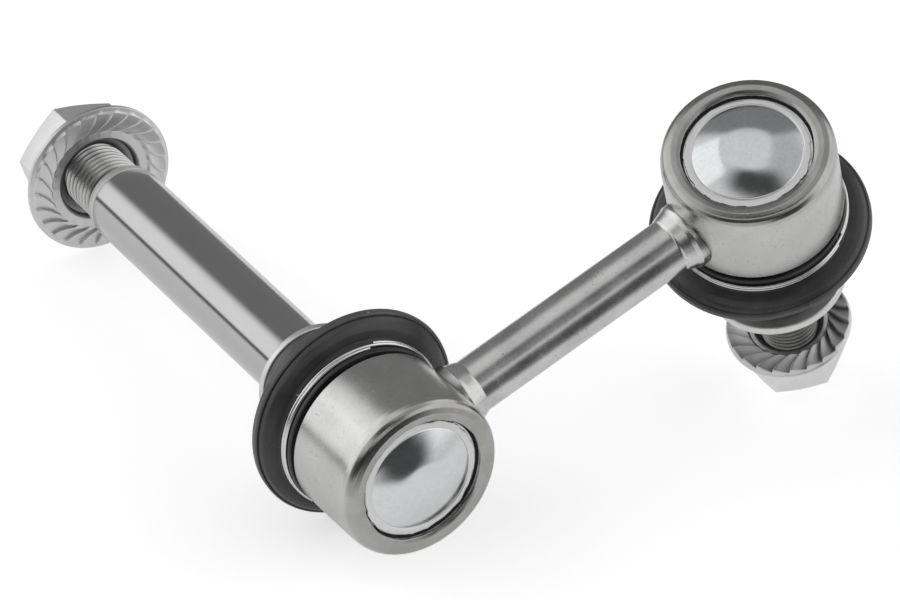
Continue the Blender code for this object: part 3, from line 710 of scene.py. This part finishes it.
# Dark thread roots: part dirt, part painted shade deep in the grooves.
root_soil_and_shade = ("thread_root", (0.03, 0.03, 0.03), 0.2)
stud_steel = plated(
    "stud_ground_steel",
    (0.58, 0.58, 0.58),
    0.12,
    cloud=0.08,
    mottle=0.06,
    pits=0.08,
    scuffs=0.08,
    bump=0.002,
    soil_and_shade=("turned_ring", (0.9, 0.9, 0.88), 0.35),
)
thread_steel = {
    "a": plated(
        "thread_rolled_steel",
        (0.74, 0.735, 0.725),
        0.2,
        cloud=0.15,
        mottle=0.12,
        pits=0.2,
        scuffs=0.1,
        bump=0.004,
        soil_and_shade=root_soil_and_shade,
    ),
    "b": plated("thread_dark_steel", (0.34, 0.335, 0.325), 0.3, cloud=0.2, mottle=0.2, soil_and_shade=root_soil_and_shade),
}
ball_turns = np.linspace(math.acos(BALL_FLAT / BALL_RADIUS), -math.acos(NECK_RADIUS / BALL_RADIUS), 24)
ball = [(BALL_RADIUS * math.cos(turn), BALL_RADIUS * math.sin(turn)) for turn in ball_turns]
neck_corners = [
    (*ball[-1], 0.0),
    (NECK_RADIUS, -12.5, 1.5),
    (7.5, -17.0, 1.5),
    (7.5, COLLAR_TOP, 0.2),
    (SHOULDER_RADIUS, COLLAR_TOP, 0.0),
]
ball_and_neck = [(0.0, ball[0][1]), *ball, *rounded(neck_corners)[1:-1]]
collar_corners = {
    "a": [
        (SHOULDER_RADIUS, COLLAR_TOP, 0.0),
        (10.3, COLLAR_TOP, 0.3),
        (10.3, -26.4, 0.35),
        (7.9, -26.4, 0.5),
        (7.0, -27.4, 0.8),
        (7.0, -95.1, 0.08),
        (6.7, -95.22, 0.03),
        (6.7, -95.4, 0.03),
        (6.92, -95.5, 0.08),
        (6.72, -97.2, 0.15),
        (6.2, -97.6, 0.1),
        (5.24, -97.6, 0.1),
    ],
    "b": [
        (SHOULDER_RADIUS, COLLAR_TOP, 0.0),
        (12.2, COLLAR_TOP, 0.35),
        (12.2, -26.8, 0.35),
        (4.4, -26.8, 0.3),
        (4.1, -27.3, 0.3),
        (4.1, -29.0, 0.2),
        (4.35, -29.3, 0.0),
    ],
}


def turned_ring(point):
    """The dull turned surfaces: both collars and the step before the long shank's thread."""
    reach, along = point.xy.length / MM, -point.z / MM
    collar = 24.0 < along < 26.95 and reach > 8.0
    step = 95.35 < along < 97.7
    return 1.0 if collar or step else 0.0


def thread_ridge(name, radius, pitch, start, stop):
    """One rolled thread: a ridge of triangular section wound down the stud, run out at both ends."""
    depth = THREAD_DEPTH * pitch
    half = THREAD_FOOT * pitch
    flat = THREAD_CREST * pitch
    section = [
        (radius - depth - 0.08, -half),
        (radius - depth * 0.96, -half),
        (radius, -flat),
        (radius, flat),
        (radius - depth * 0.96, half),
        (radius - depth - 0.08, half),
    ]
    ridge = drawn(section, closed=True)
    bpy.ops.object.mode_set(mode="OBJECT")
    turns = (stop - start) / pitch
    wound(ridge, turns, stop - start, round(turns * THREAD_STEPS))
    sunk = radius - depth - 0.05
    for vert in ridge.data.vertices:
        along = -vert.co.z / MM
        reach = round_place(vert.co)[1]
        from_end = clipped(min(along, (stop - start) - along) / (THREAD_RUNOUT * pitch))
        limit = sunk + (radius - sunk) * from_end
        if reach > limit:
            vert.co.xy *= limit / reach
        vert.co.z -= start * MM
    foot = radius - depth
    # The thread is painted darker towards its roots: part dirt, part painted shade in the grooves.
    paint(ridge, "thread_root", lambda point: 2.3 - 2.3 * (point.xy.length / MM - foot) / (0.95 * depth))
    ridge.name = name
    return ridge


for end in ENDS:
    pitch = THREAD_PITCH[end]
    root = THREAD_RADIUS[end] - THREAD_DEPTH * pitch
    start, stop = THREAD_START[end], STUD_END[end]
    tip_corners = [
        (root, -(start + 0.5), 0.0),
        (root, -(stop - 0.6), 0.1),
        (root - 0.7, -stop, 0.1),
        (0.0, -stop, 0.0),
    ]
    outline = ball_and_neck + rounded(collar_corners[end] + tip_corners)
    stud = turned(f"ball_stud_bar_{end}", outline, sides=128)
    ridge = thread_ridge(f"stud_thread_{end}", THREAD_RADIUS[end], pitch, start - 0.2, stop - 0.4)
    paint(stud, "turned_ring", turned_ring)
    finish_piece(stud, stud.name, stud_frame(end))
    finish_piece(ridge, ridge.name, stud_frame(end), angle=25.0)
    dress(stud, stud_steel, f"stud_{end}", "ground_steel", f"ball_stud_{end}")
    dress(ridge, thread_steel[end], f"stud_{end}", "ground_steel")

# Flange nuts: cold-formed hexagon nuts with a wide flange, bright zinc plated. The bearing face
# carries slanted saw teeth that lock against the bracket, round a shallow counterbore.
# Sizes in millimetres: face is how far along the stud the bearing face is, mouth the counterbore's
# radius, ring the plain band inside the teeth, drop how far below the face the rim lies, and edge the
# rim's thickness. The phase is in degrees.
NUTS = {
    "a": {
        "face": 105.5,
        "height": 11.1,
        "flats": 19.5,
        "phase": 29.5,
        "flange": 13.85,
        "mouth": 7.9,
        "ring": 1.5,
        "bore": 6.0,
        "drop": 0.8,
        "edge": 0.8,
    },
    "b": {
        "face": 39.7,
        "height": 10.3,
        "flats": 15.9,
        "phase": 30.0,
        "flange": 11.05,
        "mouth": 6.2,
        "ring": 0.7,
        "bore": 5.0,
        "drop": 1.3,
        "edge": 0.5,
    },
}
# The teeth: how far they sweep in degrees, how high they are, how far inside the rim they end and how
# much of their height notches it. Shade, wall and floor say how dark the painted shade is in the
# valleys and the bore.
TEETH = {
    "a": {
        "count": 25,
        "phase": 12.2,
        "twist": 18.5,
        "height": 0.5,
        "margin": 0.95,
        "notch": 0.0,
        "shade": 0.0,
        "wall": 1.0,
        "floor": 0.3,
    },
    "b": {
        "count": 22,
        "phase": 4.3,
        "twist": 21.0,
        "height": 0.8,
        "margin": 0.35,
        "notch": 0.35,
        "shade": 0.75,
        "wall": 0.6,
        "floor": 0.45,
    },
}
# Round one tooth: where its points lie, from the wall's foot on, and how high, from the foot up.
TOOTH_SHARES = (0.0, 0.07, 0.13, 0.2, 0.3, 0.42, 0.55, 0.68, 0.8, 0.92)
TOOTH_LEVELS = (0.0, 0.93, 1.0, 0.96, 0.84, 0.69, 0.53, 0.37, 0.22, 0.08)
TOOTH_RUN_IN = 0.45
TOOTH_RINGS = 12
COUNTERBORE = 2.3
HEAD_TOP = 2.35
RIM_BREAK = 0.09
EDGE_BREAK = 0.18
nut_steel = plated(
    "nut_bright_zinc",
    (0.78, 0.785, 0.785),
    0.38,
    cloud=0.12,
    mottle=0.05,
    pits=0.06,
    scuffs=0.05,
    bump=0.001,
    # Near-black painted shade in the counterbore and the valleys of the teeth.
    soil_and_shade=("nut_recess_shade", (0.10, 0.10, 0.095), 0.2),
)
head_steel = plated(
    "nut_frosted_zinc",
    (0.92, 0.92, 0.915),
    0.48,
    cloud=0.15,
    mottle=0.15,
    pits=0.15,
    scuffs=0.2,
    bump=0.006,
)


def nut_recess_shade(point, nut, teeth, low):
    """How dark the painted shade is in the counterbore's wall and floor and in the teeth's valleys."""
    reach, height = point.xy.length / MM, point.z / MM
    if reach > nut["mouth"] + 0.02:
        toothed = nut["mouth"] + nut["ring"] < reach < nut["flange"] - teeth["margin"]
        valley = min(max(1.0 - (height - low) / teeth["height"], 0.35), 1.0)
        return teeth["shade"] * valley if toothed and height > low - 0.02 else 0.0
    darkest = teeth["wall"] if reach > nut["mouth"] - 0.55 else teeth["floor"]
    return min((low - 0.15 - height) / 0.5, darkest)


def flange_face(name, nut, teeth):
    """The nut's flange, spun in fine steps and then cut into swept saw teeth by moving its points."""
    face = -nut["face"]
    low = face - teeth["height"]
    rim = face - nut["drop"]
    inner = nut["mouth"] + nut["ring"]
    outer = nut["flange"] - teeth["margin"]
    edge = nut["flange"] - RIM_BREAK
    corner = nut["flats"] / 2 / math.cos(math.pi / 6)
    first_ring = inner + 0.06
    ring_gap = (outer - first_ring) / TOOTH_RINGS
    corners = [
        (nut["bore"] + 0.05, face - nut["height"] + 0.9, 0.0),
        (nut["bore"] + 0.05, face - COUNTERBORE, 0.1),
        (nut["mouth"] - 0.5, face - 1.75, 0.2),
        (nut["mouth"] - 0.3, low - 0.4, 0.15),
        (nut["mouth"] + 0.05, low - 0.02, 0.2),
        (inner, low, 0.0),
        *((first_ring + ring_gap * ring, low, 0.0) for ring in range(TOOTH_RINGS + 1)),
        (outer + 0.3 * teeth["margin"], (low + rim) / 2 + 0.04, 0.0),
        (edge, rim + 0.03, 0.0),
        (nut["flange"], rim - 0.08, 0.0),
        (nut["flange"], rim - nut["edge"], 0.15),
        (nut["flange"] - 0.3, rim - nut["edge"] - 0.2, 0.1),
        (corner + 0.2, rim - 2.0, 0.6),
        (nut["flats"] / 2 - 0.5, rim - 2.6, 0.0),
        (nut["flats"] / 2 - 0.5, face - nut["height"] + 1.5, 0.0),
    ]
    per_tooth = len(TOOTH_SHARES)
    sides = teeth["count"] * per_tooth
    outline = rounded(corners, closed=True, steps=3)
    flange = turned(name, outline, sides=sides, closed=True, angle=20.0)
    pitch = math.tau / teeth["count"]
    for vert in flange.data.vertices:
        turn, reach = round_place(vert.co)
        height = vert.co.z / MM
        tooth, place = divmod(round(turn / math.tau * sides), per_tooth)
        inward = clipped((outer - reach) / (outer - inner))
        angle = math.radians(teeth["phase"] + teeth["twist"] * inward**2)
        angle += (tooth + TOOTH_SHARES[place]) * pitch
        vert.co.x = reach * math.cos(angle) * MM
        vert.co.y = reach * math.sin(angle) * MM
        lift = TOOTH_LEVELS[place] * teeth["height"] * MM
        if height > low - 0.01 and inner < reach:
            run_in = clipped((reach - inner) / TOOTH_RUN_IN)
            run_out = clipped((edge - reach) / (edge - outer))
            vert.co.z += lift * run_in * run_out
        elif outer < reach < nut["flange"] - 0.1 and height > rim:
            vert.co.z += lift * teeth["notch"]
    # Paints shade into the counterbore's wall and floor and the valleys of the teeth.
    paint(flange, "nut_recess_shade", lambda point: nut_recess_shade(point, nut, teeth, low))
    return flange


def hexagon(name, nut):
    """The nut's hexagon, with its far corners turned off at 30 degrees and its edges broken."""
    top = -nut["face"] - HEAD_TOP
    bottom = -nut["face"] - nut["height"]
    corner = nut["flats"] / 2 / math.cos(math.pi / 6)
    turned_corners = [
        (nut["bore"] + 0.1, top + 1.0),
        (corner + 1.0, top + 1.0),
        (corner + 1.0, bottom + 1.15),
        (nut["flats"] / 2 * 0.96, bottom),
        (nut["bore"] + 0.75, bottom),
        (nut["bore"] + 0.1, bottom + 0.65),
    ]
    blank = turned(name + "_turned", turned_corners, sides=128, closed=True)
    deselect()
    bpy.ops.mesh.primitive_cylinder_add(
        vertices=6,
        radius=corner * MM,
        depth=(top - bottom) * MM,
        location=(0.0, 0.0, (top + bottom) / 2 * MM),
        rotation=(0.0, 0.0, math.radians(nut["phase"] - 30.0)),
    )
    head = bpy.context.object
    bpy.ops.object.transform_apply(location=True, rotation=True, scale=True)
    cut_with(head, blank, "INTERSECT")
    broken = head.modifiers.new("broken_edges", "BEVEL")
    broken.width = EDGE_BREAK * MM
    broken.segments = 3
    broken.limit_method = "ANGLE"
    broken.angle_limit = math.radians(35.0)
    bpy.ops.object.modifier_apply(modifier=broken.name)
    head.name = name
    return head


for end in ENDS:
    flange = flange_face(f"flange_nut_flange_{end}", NUTS[end], TEETH[end])
    head = hexagon(f"flange_nut_head_{end}", NUTS[end])
    for piece, finish in ((flange, nut_steel), (head, head_steel)):
        finish_piece(piece, piece.name, stud_frame(end), angle=28.0)
        dress(piece, finish, f"nut_{end}", "bright_zinc", f"flange_nut_{end}")

# The pale table: a plain white sheet. It keeps the link's soft shadow. Seen in the metal it ends a
# little way off, as a sheet on a studio table does.
TABLE_SIZE = 6.0
TABLE_LEVEL = -0.0002
SEEN_GLOW = 0.57
MIRRORED_GLOW = 0.26
SHEET_MIDDLE = (0.0, 0.04, 0.0)
SHEET_EDGE = (0.145, 0.165)
deselect()
bpy.ops.mesh.primitive_plane_add(size=TABLE_SIZE, location=(0.0, 0.0, TABLE_LEVEL))
table = bpy.context.object
table.name = "table"
pale, pale_tree, pale_shader, table_place = blank_finish("pale_table")
pale_shader.inputs["Base Color"].default_value = (0.9, 0.9, 0.9, 1.0)
pale_shader.inputs["Roughness"].default_value = 0.9
pale_shader.inputs["Specular IOR Level"].default_value = 0.0
pale_shader.inputs["Emission Color"].default_value = (1.0, 1.0, 1.0, 1.0)
seen_by = pale_tree.nodes.new("ShaderNodeLightPath").outputs
mirrored = maths(pale_tree, "MAXIMUM", seen_by["Is Glossy Ray"], seen_by["Is Transmission Ray"])
glow = summed(pale_tree, 0.0, (seen_by["Is Camera Ray"], SEEN_GLOW), (mirrored, MIRRORED_GLOW))
pale_tree.links.new(glow, pale_shader.inputs["Emission Strength"])


def fade(tree, value, start, stop):
    """One below the start, nothing past the stop, and soft between."""
    limits = {0: value, 1: start, 2: stop, 3: 1.0, 4: 0.0}
    return node(tree, "ShaderNodeMapRange", limits, interpolation_type="SMOOTHSTEP").outputs[0]


away = node(pale_tree, "ShaderNodeVectorMath", {0: table_place, 1: SHEET_MIDDLE}, operation="DISTANCE")
sheet = fade(pale_tree, away.outputs["Value"], *SHEET_EDGE)
covered = maths(pale_tree, "MAXIMUM", sheet, maths(pale_tree, "SUBTRACT", 1.0, mirrored))
clear = pale_tree.nodes.new("ShaderNodeBsdfTransparent").outputs[0]
laid = node(pale_tree, "ShaderNodeMixShader", {0: covered, 1: clear, 2: pale_shader.outputs[0]})
pale_tree.links.new(laid.outputs[0], pale_tree.nodes["Material Output"].inputs["Surface"])
table.data.materials.append(pale)

# The camera, at the photograph's view. The link's place in it is given by the rod's direction, the
# second cap's axis and the first ball's centre in millimetres, with X right, Y down and Z ahead.
FOCAL_PIXELS = 7320.0
PHOTO_WIDTH = 900
SENSOR = 36.0
ROD_SEEN = Vector((0.79475572, -0.56136626, 0.23071904))
CAP_SEEN = Vector((-0.12869578, -0.52736899, -0.83983293))
BALL_SEEN = Vector((-10.575, 24.557, 1221.354))
seen = Matrix((ROD_SEEN, CAP_SEEN.cross(ROD_SEEN), CAP_SEEN)).transposed()
to_world = housing_frame("b").to_3x3() @ seen.inverted()
camera_turn = to_world @ Matrix(((1, 0, 0), (0, -1, 0), (0, 0, -1)))
camera_data = bpy.data.cameras.new("camera")
camera_data.sensor_width = SENSOR
camera_data.lens = FOCAL_PIXELS / PHOTO_WIDTH * SENSOR
camera_data.clip_start = 0.05
camera_data.clip_end = 20.0
camera = bpy.data.objects.new("camera", camera_data)
camera.matrix_world = Matrix.Translation(centre["a"] - to_world @ (BALL_SEEN * MM)) @ camera_turn.to_4x4()
scene = bpy.context.scene
scene.collection.objects.link(camera)
scene.camera = camera

# The studio: one soft lamp, and a world of soft-edged pale cards and dark gaps, whose reflections
# give the bright metal its bands.
LAMP_AZIMUTH = math.radians(142.0)
LAMP_ELEVATION = math.radians(42.0)
LAMP_DISTANCE = 1.6
LAMP_AIM = Vector((0.0, 0.0, 0.03))
ROOM_LIGHT = 0.68
# Each card has the azimuth and the elevation of its middle, its half width and half height in
# degrees, its soft edge and its brightness.
CARDS = (
    (0.0, -90.0, 400.0, 86.0, 0.06, 0.62),
    (-30.0, 68.0, 66.0, 16.0, 0.5, 0.46),
    (-30.0, 25.0, 42.0, 26.0, 0.4, 0.98),
    (142.0, 44.0, 27.0, 17.0, 0.25, 0.62),
    (136.0, 13.0, 33.0, 17.0, 0.3, 1.04),
    (60.0, 28.0, 43.0, 43.0, 0.14, 0.205),
    (122.0, -3.0, 34.0, 3.0, 0.5, 0.12),
    (-120.0, 7.0, 57.0, 16.0, 0.3, 0.04),
    (-83.0, -8.0, 21.0, 17.0, 0.45, 0.06),
    (-132.0, 57.0, 46.0, 12.0, 0.45, 0.05),
    (-93.0, 42.0, 12.0, 8.0, 0.5, 0.15),
)
lamp_data = bpy.data.lights.new("lamp_left", "AREA")
lamp_data.shape = "RECTANGLE"
lamp_data.size, lamp_data.size_y = 1.2, 0.9
lamp_data.energy = 1.3
lamp_reach = math.cos(LAMP_ELEVATION)
lamp_side = Vector(
    (
        math.cos(LAMP_AZIMUTH) * lamp_reach,
        math.sin(LAMP_AZIMUTH) * lamp_reach,
        math.sin(LAMP_ELEVATION),
    )
)
lamp = bpy.data.objects.new("lamp_left", lamp_data)
lamp.location = lamp_side * LAMP_DISTANCE + LAMP_AIM
lamp.rotation_euler = lamp_side.to_track_quat("Z", "Y").to_euler()
scene.collection.objects.link(lamp)

world = scene.world or bpy.data.worlds.new("studio")
scene.world = world
world.use_nodes = True
sky = world.node_tree
direction = sky.nodes.new("ShaderNodeTexCoord").outputs["Generated"]
axes = node(sky, "ShaderNodeSeparateXYZ", {0: direction}).outputs
azimuth_of = maths(sky, "MULTIPLY", maths(sky, "ARCTAN2", axes["Y"], axes["X"]), math.degrees(1.0))
elevation_of = maths(sky, "MULTIPLY", maths(sky, "ARCSINE", axes["Z"]), math.degrees(1.0))
shine = ROOM_LIGHT
for azimuth, elevation, half_width, half_height, edge, brightness in CARDS:
    aside = maths(sky, "SUBTRACT", azimuth_of, azimuth)
    aside = node(sky, "ShaderNodeMath", {0: aside, 1: 180.0, 2: -180.0}, operation="WRAP").outputs[0]
    above = maths(sky, "SUBTRACT", elevation_of, elevation)
    across = maths(sky, "POWER", maths(sky, "DIVIDE", aside, half_width), 4.0)
    upward = maths(sky, "POWER", maths(sky, "DIVIDE", above, half_height), 4.0)
    from_middle = maths(sky, "POWER", maths(sky, "ADD", across, upward), 0.25)
    on_card = fade(sky, from_middle, 1.0 - edge, 1.0 + edge)
    shine = node(sky, "ShaderNodeMix", {0: on_card, 2: shine, 3: brightness}, data_type="FLOAT").outputs[0]
seen_directly = sky.nodes.new("ShaderNodeLightPath").outputs["Is Camera Ray"]
shine = node(sky, "ShaderNodeMix", {0: seen_directly, 2: shine, 3: 1.0}, data_type="FLOAT").outputs[0]
background = sky.nodes["Background"]
background.inputs["Color"].default_value = (1.0, 1.0, 1.0, 1.0)
sky.links.new(shine, background.inputs["Strength"])
scene.view_settings.view_transform = "Standard"
